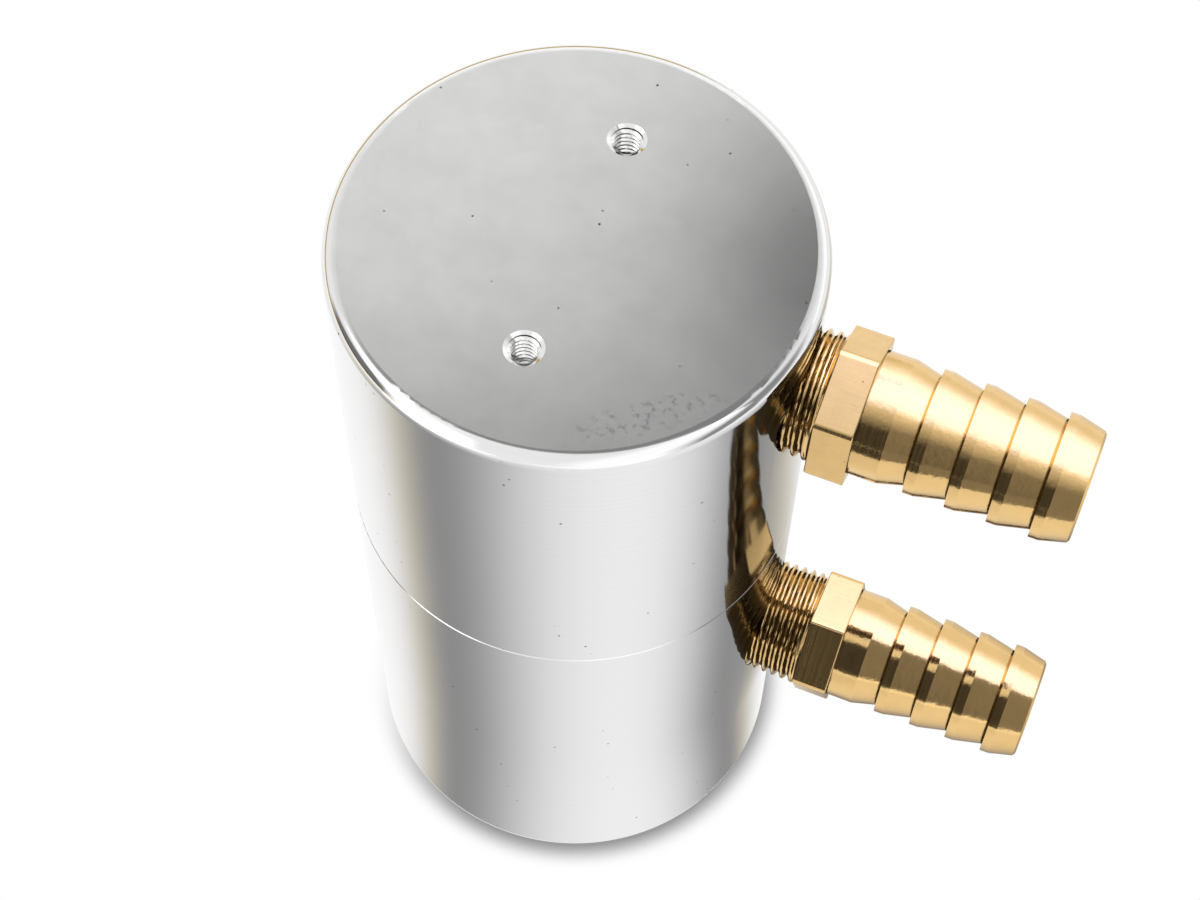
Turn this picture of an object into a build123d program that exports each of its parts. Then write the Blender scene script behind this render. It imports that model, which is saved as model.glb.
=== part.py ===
from build123d import *
import math
import os

# Oil catch can: a turned aluminium cup and head that screw together, each with a brass hose barb
# in its side. Vapour goes in at one barb and out at the other, through a wire mesh pack in the
# head, and the oil that settles there drips into the cup.
# Millimetres, +Z up, origin at the centre of the base, both hose barbs along +X.

# Can
can_diameter = 63.5
cup_height = 72.1
head_height = 54.9
edge_round = 1.9  # round along the top edge and the bottom edge
seam_break = 0.2  # broken edge on each side of the seam

# Cup
cup_wall = 6.75
base_thickness = 6.0
sump_round = 3.0  # round between the cup's floor and its wall
rim_wall = 3.15  # wall outside the bore that the head's spigot enters
rim_lead = 0.4  # chamfer that leads the seal in
socket_gap = 0.3  # room under the spigot's end

# Head
top_thickness = 8.4
chamber_round = 1.5  # round between the head's ceiling and its wall
shoulder_width = 1.5  # ledge that the upper screen seats against
spigot_length = 12.0
spigot_clearance = 0.1
spigot_wall = 1.6  # metal between the seal groove and the filter bore
pilot_length = 4.9  # plain part of the spigot, which holds the seal
thread_step = 0.5  # how far the screw thread's crest lies inside the plain part
thread_depth = 0.92
thread_clearance = 0.05
seal_land = 0.9  # plain band between the seam and the seal groove
seal_groove_width = 2.8
seal_groove_depth = 1.9
seal_clearance = 0.05

# Bracket holes, tapped in the head's top
bracket_hole_spacing = 33.7
bracket_hole_diameter = 4.2
bracket_hole_mouth = 0.5  # chamfer at the mouth, cut with a larger drill
bracket_hole_floor = 1.0  # metal left under the drill's point
drill_point_angle = 118.0

# Filter pack, held in the head by an internal snap ring
ring_rise = 2.9  # from the seam up to the snap ring
ring_thickness = 2.0
ring_groove_depth = 1.5
ring_clearance = 0.1
ring_width = 3.8
ring_taper = 0.5  # how far the inner edge is off centre, so that the ends are slimmer
ring_gap = 10.0
lug_diameter = 6.0
lug_hole_diameter = 2.5
screen_thickness = 0.8
screen_hole_diameter = 4.0
screen_hole_pitch = 6.0
screen_rim = 3.0  # plain edge outside the holes
mesh_thickness = 12.0
mesh_edge_round = 1.5
filter_clearance = 0.2

# Side ports, on the tapered pipe thread of the hose barbs
upper_port_drop = 15.9  # from the top down to the upper port
lower_port_drop = 26.4  # from the seam down to the lower port
port_drill_diameter = 14.7
port_run_out = 0.6  # thread cut past the end of the hose barb
pipe_clearance = 0.05

# Hose barbs, alike but screwed in to different depths
pipe_thread_diameter = 17.1  # at the hexagon
pipe_thread_length = 10.4
pipe_taper = 1 / 16  # on the diameter
pipe_start_chamfer = 0.8
hex_across_flats = 17.46
hex_length = 5.2
neck_land = 3.8
neck_length = 7.4  # from the hexagon to the first barb
barb_diameter = 16.5
barb_depth = 0.95
barb_land = 1.3  # cylindrical crest of each barb
barb_pitch = 5.48
barb_count = 4
tip_length = 5.0  # last barb, from its shoulder to the tip
tip_break = 0.3
barb_wall = 1.5  # wall under the barbs
upper_thread_showing = 2.95  # from the can to the hexagon
lower_thread_showing = 6.6
upper_hex_turn = 24.0  # corner of the hexagon, in degrees from +Y towards +Z
lower_hex_turn = 50.5

# Heights
seam = cup_height
top = cup_height + head_height
spigot_end = seam - spigot_length
thread_top = seam - pilot_length
seal_groove_top = seam - seal_land
seal_groove_bottom = seal_groove_top - seal_groove_width
ring_bottom = seam + ring_rise
ring_top = ring_bottom + ring_thickness
mesh_bottom = ring_top + screen_thickness
mesh_top = mesh_bottom + mesh_thickness
shoulder = mesh_top + screen_thickness
ceiling = top - top_thickness
socket_floor = spigot_end - socket_gap
upper_port = top - upper_port_drop
lower_port = seam - lower_port_drop

# Radii
can_radius = can_diameter / 2
sump_radius = can_radius - cup_wall
pilot_bore_radius = can_radius - rim_wall
pilot_radius = pilot_bore_radius - spigot_clearance
thread_radius = pilot_radius - thread_step
spigot_core_radius = thread_radius - thread_depth
socket_thread_radius = thread_radius + thread_clearance
seal_floor_radius = pilot_radius - seal_groove_depth
filter_bore_radius = seal_floor_radius - spigot_wall
chamber_radius = filter_bore_radius - shoulder_width
ring_groove_radius = filter_bore_radius + ring_groove_depth
ring_radius = ring_groove_radius - ring_clearance
filter_radius = filter_bore_radius - filter_clearance
barb_radius = barb_diameter / 2
barb_root_radius = barb_radius - barb_depth
barb_bore_radius = barb_root_radius - barb_wall

# Where each hexagon starts, from the can's axis
upper_hex_face = can_radius + upper_thread_showing
lower_hex_face = can_radius + lower_thread_showing


def pipe_radius(distance):
    # Radius of the tapered thread at a distance from the hexagon
    return pipe_thread_diameter / 2 - distance * pipe_taper / 2


def port_plane(hex_face, port_height):
    # Plane through a port's axis: x runs outwards from the hexagon, y is the radius
    return Plane(origin=(hex_face, 0, port_height), x_dir=(1, 0, 0), z_dir=(0, -1, 0))


def port_axis(port_height):
    return Axis((0, 0, port_height), (1, 0, 0))


def port_outline(hex_face, cavity_radius):
    # Half section of a port: a drilled hole that runs one wall into the cavity, and the tapered
    # thread from outside the can to just past the end of the hose barb
    drill_radius = port_drill_diameter / 2
    drill_end = 2 * cavity_radius - can_radius - hex_face
    thread_reach = pipe_thread_length + port_run_out
    return [
        (drill_end, 0),
        (drill_end, drill_radius),
        (-thread_reach, drill_radius),
        (-thread_reach, pipe_radius(thread_reach) + pipe_clearance),
        (0, pipe_radius(0) + pipe_clearance),
        (0, 0),
    ]


def barb_outline():
    # Half section of a hose barb from the end of its thread to its tip, with a sharp shoulder on
    # the hexagon's side of each barb and a taper towards the tip
    chamfer_start = pipe_thread_length - pipe_start_chamfer
    points = [
        (-pipe_thread_length, barb_bore_radius),
        (-pipe_thread_length, pipe_radius(pipe_thread_length) - pipe_start_chamfer),
        (-chamfer_start, pipe_radius(chamfer_start)),
        (0, pipe_radius(0)),
        (0, barb_radius),
        (hex_length + neck_land, barb_radius),
    ]
    first_shoulder = hex_length + neck_length
    for index in range(barb_count):
        barb_shoulder = first_shoulder + index * barb_pitch
        points += [
            (barb_shoulder, barb_root_radius),
            (barb_shoulder, barb_radius),
            (barb_shoulder + barb_land, barb_radius),
        ]
    tip = first_shoulder + (barb_count - 1) * barb_pitch + tip_length
    points += [(tip, barb_root_radius), (tip, barb_bore_radius)]
    return points


os.makedirs("parts", exist_ok=True)

# Cup: turned outside, bored for the sump and for the head's spigot
with BuildPart() as lower_body:
    with BuildSketch(Plane.XZ):
        with BuildLine():
            Polyline(
                (0, 0),
                (can_radius, 0),
                (can_radius, seam),
                (pilot_bore_radius, seam),
                (pilot_bore_radius, thread_top),
                (socket_thread_radius, thread_top),
                (socket_thread_radius, socket_floor),
                (sump_radius, socket_floor),
                (sump_radius, base_thickness),
                (0, base_thickness),
                close=True,
            )
        make_face()
    revolve(axis=Axis.Z)
    rounds = edges().filter_by(GeomType.CIRCLE).group_by(Axis.Z)
    fillet(rounds[0], edge_round)
    sump_corner = edges().filter_by_position(Axis.Z, base_thickness, base_thickness)
    fillet(sump_corner.filter_by(GeomType.CIRCLE), sump_round)
    rim_edges = edges().filter_by(GeomType.CIRCLE).group_by(Axis.Z)[-1].sort_by(SortBy.RADIUS)
    chamfer(rim_edges[-1], seam_break)
    chamfer(rim_edges[0], rim_lead)
    with BuildSketch(port_plane(lower_hex_face, lower_port)):
        with BuildLine():
            Polyline(*port_outline(lower_hex_face, sump_radius), close=True)
        make_face()
    revolve(axis=port_axis(lower_port), mode=Mode.SUBTRACT)
lower_body.part.label = "lower_body"
export_step(lower_body.part, "parts/lower_body.step")

# Head: closed top, spigot with the seal groove and the screw thread's core, stepped bore
with BuildPart() as upper_body:
    with BuildSketch(Plane.XZ):
        with BuildLine():
            Polyline(
                (0, top),
                (can_radius, top),
                (can_radius, seam),
                (pilot_radius, seam),
                (pilot_radius, seal_groove_top),
                (seal_floor_radius, seal_groove_top),
                (seal_floor_radius, seal_groove_bottom),
                (pilot_radius, seal_groove_bottom),
                (pilot_radius, thread_top),
                (spigot_core_radius, thread_top),
                (spigot_core_radius, spigot_end),
                (0, spigot_end),
                close=True,
            )
        make_face()
    revolve(axis=Axis.Z)
    fillet(edges().filter_by(GeomType.CIRCLE).group_by(Axis.Z)[-1], edge_round)
    seam_edges = edges().filter_by_position(Axis.Z, seam, seam).filter_by(GeomType.CIRCLE)
    chamfer(seam_edges.sort_by(SortBy.RADIUS)[-1], seam_break)
    with BuildSketch(Plane.XZ):
        with BuildLine():
            Polyline(
                (0, spigot_end),
                (filter_bore_radius, spigot_end),
                (filter_bore_radius, ring_bottom),
                (ring_groove_radius, ring_bottom),
                (ring_groove_radius, ring_top + ring_clearance),
                (filter_bore_radius, ring_top + ring_clearance),
                (filter_bore_radius, shoulder),
                (chamber_radius, shoulder),
                (chamber_radius, ceiling),
                (0, ceiling),
                close=True,
            )
        make_face()
    revolve(axis=Axis.Z, mode=Mode.SUBTRACT)
    ceiling_corner = edges().filter_by_position(Axis.Z, ceiling, ceiling)
    fillet(ceiling_corner.filter_by(GeomType.CIRCLE), chamber_round)
    with BuildSketch(port_plane(upper_hex_face, upper_port)):
        with BuildLine():
            Polyline(*port_outline(upper_hex_face, chamber_radius), close=True)
        make_face()
    revolve(axis=port_axis(upper_port), mode=Mode.SUBTRACT)
    hole_radius = bracket_hole_diameter / 2
    point_height = hole_radius / math.tan(math.radians(drill_point_angle / 2))
    hole_depth = top_thickness - bracket_hole_floor - point_height
    with Locations(Plane.XY.offset(top)):
        with GridLocations(0, bracket_hole_spacing, 1, 2):
            CounterSinkHole(
                hole_radius, hole_radius + bracket_hole_mouth, hole_depth, drill_point_angle
            )
    with Locations(Plane.XY.offset(top - hole_depth)):
        with GridLocations(0, bracket_hole_spacing, 1, 2):
            Cone(
                0,
                hole_radius,
                point_height,
                align=(Align.CENTER, Align.CENTER, Align.MAX),
                mode=Mode.SUBTRACT,
            )
upper_body.part.label = "upper_body"
export_step(upper_body.part, "parts/upper_body.step")

# Seal: the ring as it lies squeezed between the groove's floor and the cup's bore
seal_space = pilot_bore_radius - seal_floor_radius
with BuildPart() as seal_ring:
    with BuildSketch(Plane.XZ):
        seal_middle = (seal_groove_top + seal_groove_bottom) / 2
        with Locations((seal_floor_radius + seal_space / 2, seal_middle)):
            Circle(seal_space / 2 - seal_clearance)
    revolve(axis=Axis.Z)
seal_ring.part.label = "seal_ring"
export_step(seal_ring.part, "parts/seal_ring.step")

# Hose barbs: turned from hexagon bar, bored through
hose_barbs = [
    ("lower_hose_barb", lower_hex_face, lower_port, lower_hex_turn),
    ("upper_hose_barb", upper_hex_face, upper_port, upper_hex_turn),
]
for barb_name, hex_face, port_height, hex_turn in hose_barbs:
    with BuildPart() as hose_barb:
        with BuildSketch(port_plane(hex_face, port_height)):
            with BuildLine():
                Polyline(*barb_outline(), close=True)
            make_face()
        revolve(axis=port_axis(port_height))
        chamfer(edges().filter_by(GeomType.CIRCLE).group_by(Axis.X)[-1], tip_break)
        hex_plane = Plane(origin=(hex_face, 0, port_height), x_dir=(0, 1, 0), z_dir=(1, 0, 0))
        with BuildSketch(hex_plane):
            RegularPolygon(hex_across_flats / 2, 6, major_radius=False, rotation=hex_turn)
            Circle(barb_bore_radius, mode=Mode.SUBTRACT)
        extrude(amount=hex_length)
    hose_barb.part.label = barb_name
    export_step(hose_barb.part, f"parts/{barb_name}.step")

# Screens: perforated discs under and over the mesh
screen_reach = filter_radius - screen_rim - screen_hole_diameter / 2
screen_rings = int(screen_reach / screen_hole_pitch)
screens = [("lower_screen", ring_top), ("upper_screen", mesh_top)]
for screen_name, screen_bottom in screens:
    with BuildPart() as screen:
        with BuildSketch(Plane.XY.offset(screen_bottom)):
            Circle(filter_radius)
            Circle(screen_hole_diameter / 2, mode=Mode.SUBTRACT)
            for ring in range(1, screen_rings + 1):
                with PolarLocations(ring * screen_hole_pitch, 6 * ring):
                    Circle(screen_hole_diameter / 2, mode=Mode.SUBTRACT)
        extrude(amount=screen_thickness)
    screen.part.label = screen_name
    export_step(screen.part, f"parts/{screen_name}.step")

# Mesh: the space that the knitted wire pad fills
with BuildPart() as mesh_pack:
    with BuildSketch(Plane.XY.offset(mesh_bottom)):
        Circle(filter_radius)
    extrude(amount=mesh_thickness)
    fillet(edges().filter_by(GeomType.CIRCLE), mesh_edge_round)
mesh_pack.part.label = "mesh_pack"
export_step(mesh_pack.part, "parts/mesh_pack.step")

# Snap ring: open towards +X, with a lug for the pliers at each end
lug_radius = lug_diameter / 2
lug_side = ring_gap / 2 + lug_radius
lug_reach = math.sqrt((filter_radius - lug_radius) ** 2 - lug_side**2)
with BuildPart() as snap_ring:
    with BuildSketch(Plane.XY.offset(ring_bottom)):
        Circle(ring_radius)
        with Locations((ring_taper, 0)):
            Circle(ring_radius - ring_width, mode=Mode.SUBTRACT)
        with Locations((ring_radius, 0)):
            Rectangle(ring_radius, ring_gap, mode=Mode.SUBTRACT)
        with Locations((lug_reach, lug_side), (lug_reach, -lug_side)):
            Circle(lug_radius)
        with Locations((lug_reach, lug_side), (lug_reach, -lug_side)):
            Circle(lug_hole_diameter / 2, mode=Mode.SUBTRACT)
    extrude(amount=ring_thickness)
snap_ring.part.label = "snap_ring"
export_step(snap_ring.part, "parts/snap_ring.step")
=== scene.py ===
import math

import bmesh
import bpy
import numpy as np
from mathutils import Matrix, Vector


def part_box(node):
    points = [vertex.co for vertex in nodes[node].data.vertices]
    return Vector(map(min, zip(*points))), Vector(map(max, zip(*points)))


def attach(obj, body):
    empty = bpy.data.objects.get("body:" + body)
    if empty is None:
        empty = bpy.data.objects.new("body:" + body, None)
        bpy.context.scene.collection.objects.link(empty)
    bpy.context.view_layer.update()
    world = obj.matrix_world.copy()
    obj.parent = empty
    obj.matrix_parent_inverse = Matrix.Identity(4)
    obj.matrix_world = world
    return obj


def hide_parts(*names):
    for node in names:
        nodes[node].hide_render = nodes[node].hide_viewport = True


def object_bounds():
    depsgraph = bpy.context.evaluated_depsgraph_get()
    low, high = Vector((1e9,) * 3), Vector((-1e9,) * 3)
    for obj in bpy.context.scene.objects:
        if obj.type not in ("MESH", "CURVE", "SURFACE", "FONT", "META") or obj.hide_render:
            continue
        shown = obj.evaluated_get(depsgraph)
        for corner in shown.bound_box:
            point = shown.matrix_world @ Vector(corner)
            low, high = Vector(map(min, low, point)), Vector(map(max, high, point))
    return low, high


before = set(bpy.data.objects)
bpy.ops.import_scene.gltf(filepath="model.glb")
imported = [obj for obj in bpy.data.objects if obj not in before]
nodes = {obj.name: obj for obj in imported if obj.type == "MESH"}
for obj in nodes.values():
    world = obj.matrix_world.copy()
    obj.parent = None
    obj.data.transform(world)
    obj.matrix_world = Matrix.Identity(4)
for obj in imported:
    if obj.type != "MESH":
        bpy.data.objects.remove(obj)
cadLow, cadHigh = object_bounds()
mm = 0.001
print("frame loaded,", len(nodes), "nodes")


# sRGB hex to linear, the one way that colours get into this file
def linear(hexText):
    srgb = [int(hexText[i:i + 2], 16) / 255 for i in (1, 3, 5)]
    return tuple(c / 12.92 if c <= 0.04045 else ((c + 0.055) / 1.055) ** 2.4 for c in srgb) + (1.0,)


# adds a node, sets its options, then its sockets: another node's output is linked, a value is set
def addNode(tree, kind, options=None, sockets=None):
    node = tree.nodes.new(kind)
    for key, value in (options or {}).items():
        setattr(node, key, value)
    for key, value in (sockets or {}).items():
        if isinstance(value, bpy.types.NodeSocket):
            tree.links.new(value, node.inputs[key])
        else:
            node.inputs[key].default_value = value
    return node


def newMaterial(name):
    material = bpy.data.materials.new(name)
    material.use_nodes = True
    material.node_tree.nodes.clear()
    return material, material.node_tree


def output(tree, shader):
    addNode(tree, "ShaderNodeOutputMaterial", None, {"Surface": shader})


def dress(obj, material):
    obj.data.materials.clear()
    obj.data.materials.append(material)


# one quad for each cell of a grid of points; a wrapped side closes on itself, and points that fall
# together at a pole are welded. Each attribute is an array over the grid
def gridPiece(name, points, wrapRows=False, wrapCols=False, flip=False, sharp=None, attributes=None):
    weldDistance = 1e-7
    rows, cols = points.shape[:2]
    index = np.arange(rows * cols).reshape(rows, cols)
    if wrapRows:
        index = np.vstack([index, index[:1]])
    if wrapCols:
        index = np.hstack([index, index[:, :1]])
    quads = np.stack([index[:-1, :-1], index[1:, :-1], index[1:, 1:], index[:-1, 1:]], -1).reshape(-1, 4)
    if flip:
        quads = quads[:, ::-1]
    mesh = bpy.data.meshes.new(name)
    mesh.from_pydata(points.reshape(-1, 3).tolist(), [], quads.tolist())
    for label, values in (attributes or {}).items():
        spread = np.broadcast_to(values, (rows, cols)).astype(np.float32).reshape(-1)
        mesh.attributes.new(label, "FLOAT", "POINT").data.foreach_set("value", spread)
    welded = bmesh.new()
    welded.from_mesh(mesh)
    bmesh.ops.remove_doubles(welded, verts=welded.verts, dist=weldDistance)
    welded.to_mesh(mesh)
    welded.free()
    mesh.shade_smooth()
    if sharp:
        mesh.set_sharp_from_angle(angle=math.radians(sharp))
    obj = bpy.data.objects.new(name, mesh)
    bpy.context.scene.collection.objects.link(obj)
    return obj


# Materials

noiseSpan = (0.3, 0.7)  # nearly all values of a noise lie in here
noiseCore = (0.35, 0.65)  # and most of them in here
acrossTangent = 0.25  # turn of an anisotropic highlight, in turns


# pits: the middle of a share of the cells
def pits(tree, place, s):
    cells = addNode(tree, "ShaderNodeTexVoronoi", None, {"Vector": place, "Scale": 1 / s["pitSpacing"]})
    size = s["pitSize"] / s["pitSpacing"]
    pit = addNode(tree, "ShaderNodeMapRange", None,
                  {"Value": cells.outputs["Distance"], "From Min": size, "From Max": 0.5 * size})
    chance = addNode(tree, "ShaderNodeSeparateXYZ", None, {0: cells.outputs["Color"]}).outputs["X"]
    chosen = addNode(tree, "ShaderNodeMath", {"operation": "LESS_THAN"}, {0: chance, 1: s["pitShare"]})
    return addNode(tree, "ShaderNodeMath", {"operation": "MULTIPLY"},
                   {0: pit.outputs["Result"], 1: chosen.outputs[0]}).outputs[0]


# bare aluminium, turned: a pale grey metal. The tool's fine rings run round the can, so reflections
# are drawn out along its axis and stay sharp round it. The faced top is cloudy, with a few pits,
# specks and a rubbed place near its front edge
aluminiumSet = {
    "colour": "#EDEDED", "faceColour": "#E9E9E8", "pitColour": "#5A5852",
    "roughness": 0.07, "faceRoughness": 0.17, "anisotropy": 0.3,
    "sideTo": 0.9, "faceFrom": 0.995,  # upward part of the normal
    "ringPitch": 0.45 * mm,  # real feed marks are under 0.1 mm apart, drawn coarser so that they show
    "ringTone": 0.012, "ringRoughness": 0.015,
    "cloudSize": 9 * mm, "cloudTone": (0.95, 1.03),
    "pitSpacing": 4 * mm, "pitSize": 0.22 * mm, "pitShare": 0.9,
    "rubPlace": (17.3 * mm, -20.0 * mm, 0), "rubTurn": 39, "rubReach": (13 * mm, 3 * mm, 1),
    "rubCore": 0.35, "rubGrain": 1.0 * mm, "rubSpan": (0.53, 0.6), "rubTone": 0.72,
}


def turnedAluminium(s):
    material, tree = newMaterial("turnedAluminium")
    place = addNode(tree, "ShaderNodeTexCoord").outputs["Object"]
    height = addNode(tree, "ShaderNodeSeparateXYZ", None, {0: place}).outputs["Z"]
    normal = addNode(tree, "ShaderNodeNewGeometry").outputs["Normal"]
    upward = addNode(tree, "ShaderNodeSeparateXYZ", None, {0: normal}).outputs["Z"]
    onFace = addNode(tree, "ShaderNodeMapRange", {"interpolation_type": "SMOOTHSTEP"},
                     {"Value": upward, "From Min": s["sideTo"], "From Max": s["faceFrom"]}).outputs["Result"]
    # rings on the side, with the grain straight across the face
    around = addNode(tree, "ShaderNodeTangent", {"direction_type": "RADIAL", "axis": "Z"})
    across = addNode(tree, "ShaderNodeVectorTransform", {"vector_type": "VECTOR"}, {0: (1, 0, 0)})
    grain = addNode(tree, "ShaderNodeMix", {"data_type": "VECTOR"},
                    {"Factor": onFace, "A": around.outputs[0], "B": across.outputs[0]})
    ring = addNode(tree, "ShaderNodeTexNoise", {"noise_dimensions": "1D"},
                   {"W": height, "Scale": 1 / s["ringPitch"], "Detail": 3.0})
    ring = addNode(tree, "ShaderNodeMapRange", None,
                   {"Value": ring.outputs["Fac"], "From Min": noiseSpan[0], "From Max": noiseSpan[1],
                    "To Min": -1.0}).outputs["Result"]
    sideTone = addNode(tree, "ShaderNodeMath", {"operation": "MULTIPLY_ADD"},
                       {0: ring, 1: s["ringTone"], 2: 1.0}).outputs[0]
    side = addNode(tree, "ShaderNodeVectorMath", {"operation": "SCALE"},
                   {0: linear(s["colour"])[:3], "Scale": sideTone})
    # the face: soft clouds, and jagged marks where it was rubbed
    cloud = addNode(tree, "ShaderNodeTexNoise", None,
                    {"Vector": place, "Scale": 1 / s["cloudSize"], "Detail": 5.0, "Roughness": 0.62})
    cloud = addNode(tree, "ShaderNodeMapRange", None,
                    {"Value": cloud.outputs["Fac"], "From Min": noiseCore[0], "From Max": noiseCore[1],
                     "To Min": s["cloudTone"][0], "To Max": s["cloudTone"][1]}).outputs["Result"]
    rub = addNode(tree, "ShaderNodeMapping", {"vector_type": "TEXTURE"},
                  {"Vector": place, "Location": s["rubPlace"], "Rotation": (0, 0, math.radians(s["rubTurn"])),
                   "Scale": s["rubReach"]})
    rub = addNode(tree, "ShaderNodeVectorMath", {"operation": "LENGTH"}, {0: rub.outputs[0]})
    rub = addNode(tree, "ShaderNodeMapRange", {"interpolation_type": "SMOOTHSTEP"},
                  {"Value": rub.outputs["Value"], "From Min": 1.0,
                   "From Max": s["rubCore"]}).outputs["Result"]
    marks = addNode(tree, "ShaderNodeTexNoise", None,
                    {"Vector": place, "Scale": 1 / s["rubGrain"], "Detail": 5.0, "Roughness": 0.7})
    marks = addNode(tree, "ShaderNodeMapRange", None,
                    {"Value": marks.outputs["Fac"], "From Min": s["rubSpan"][0], "From Max": s["rubSpan"][1],
                     "To Max": 1 - s["rubTone"]}).outputs["Result"]
    marks = addNode(tree, "ShaderNodeMath", {"operation": "MULTIPLY"}, {0: marks, 1: rub})
    faceTone = addNode(tree, "ShaderNodeMath", {"operation": "SUBTRACT"}, {0: cloud, 1: marks.outputs[0]})
    face = addNode(tree, "ShaderNodeVectorMath", {"operation": "SCALE"},
                   {0: linear(s["faceColour"])[:3], "Scale": faceTone.outputs[0]})
    colour = addNode(tree, "ShaderNodeMix", {"data_type": "RGBA"},
                     {"Factor": onFace, "A": side.outputs["Vector"], "B": face.outputs["Vector"]})
    speckled = addNode(tree, "ShaderNodeMix", {"data_type": "RGBA"},
                       {"Factor": pits(tree, place, s), "A": colour.outputs["Result"],
                        "B": linear(s["pitColour"])})
    rough = addNode(tree, "ShaderNodeMapRange", None,
                    {"Value": onFace, "To Min": s["roughness"], "To Max": s["faceRoughness"]})
    rough = addNode(tree, "ShaderNodeMath", {"operation": "MULTIPLY_ADD"},
                    {0: ring, 1: s["ringRoughness"], 2: rough.outputs["Result"]})
    shader = addNode(tree, "ShaderNodeBsdfPrincipled", None, {
        "Base Color": speckled.outputs["Result"], "Metallic": 1.0, "Roughness": rough.outputs[0],
        "Anisotropic": s["anisotropy"], "Anisotropic Rotation": acrossTangent,
        "Tangent": grain.outputs["Result"]})
    output(tree, shader.outputs["BSDF"])
    return material


# the same aluminium where a tap cut it: brighter and smoother, with small tears in the flanks
tappedSet = {"colour": "#F2F2F0", "roughness": 0.14, "tearSize": 0.35 * mm, "tearSpan": (0.35, 0.5),
             "tearTone": 0.8}


def tappedAluminium(s):
    material, tree = newMaterial("tappedAluminium")
    place = addNode(tree, "ShaderNodeTexCoord").outputs["Object"]
    tear = addNode(tree, "ShaderNodeTexNoise", None,
                   {"Vector": place, "Scale": 1 / s["tearSize"], "Detail": 3.0})
    tone = addNode(tree, "ShaderNodeMapRange", None,
                   {"Value": tear.outputs["Fac"], "From Min": s["tearSpan"][0], "From Max": s["tearSpan"][1],
                    "To Min": s["tearTone"]})
    colour = addNode(tree, "ShaderNodeVectorMath", {"operation": "SCALE"},
                     {0: linear(s["colour"])[:3], "Scale": tone.outputs["Result"]})
    shader = addNode(tree, "ShaderNodeBsdfPrincipled", None, {
        "Base Color": colour.outputs["Vector"], "Metallic": 1.0, "Roughness": s["roughness"]})
    output(tree, shader.outputs["BSDF"])
    return material


# free-cutting brass, turned from drawn hexagon bar: warm yellow. The hexagon's flats keep the drawn
# bar's skin, with lengthwise grain and faint stains; the rest has the tool's rings and a little
# chatter, which frays the edges of reflections
brassSet = {
    "colour": "#F1CA89", "pitColour": "#6A5228", "roughness": 0.15, "flatRoughness": 0.2, "anisotropy": 0.4,
    "ringPitch": 0.3 * mm,  # real feed marks are about 0.1 mm apart, drawn coarser so that they show
    "ringRoughness": 0.035, "grain": (5 * mm, 0.22 * mm, 0.22 * mm), "grainTone": 0.035,
    "stainSize": 3.2 * mm, "stainSpan": (0.4, 0.7), "stainTone": 0.06,
    "chatterSize": 0.9 * mm, "chatterDepth": 0.022 * mm, "flatChatter": 0.15,
    "pitSpacing": 3.5 * mm, "pitSize": 0.13 * mm, "pitShare": 0.35,
}


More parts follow.
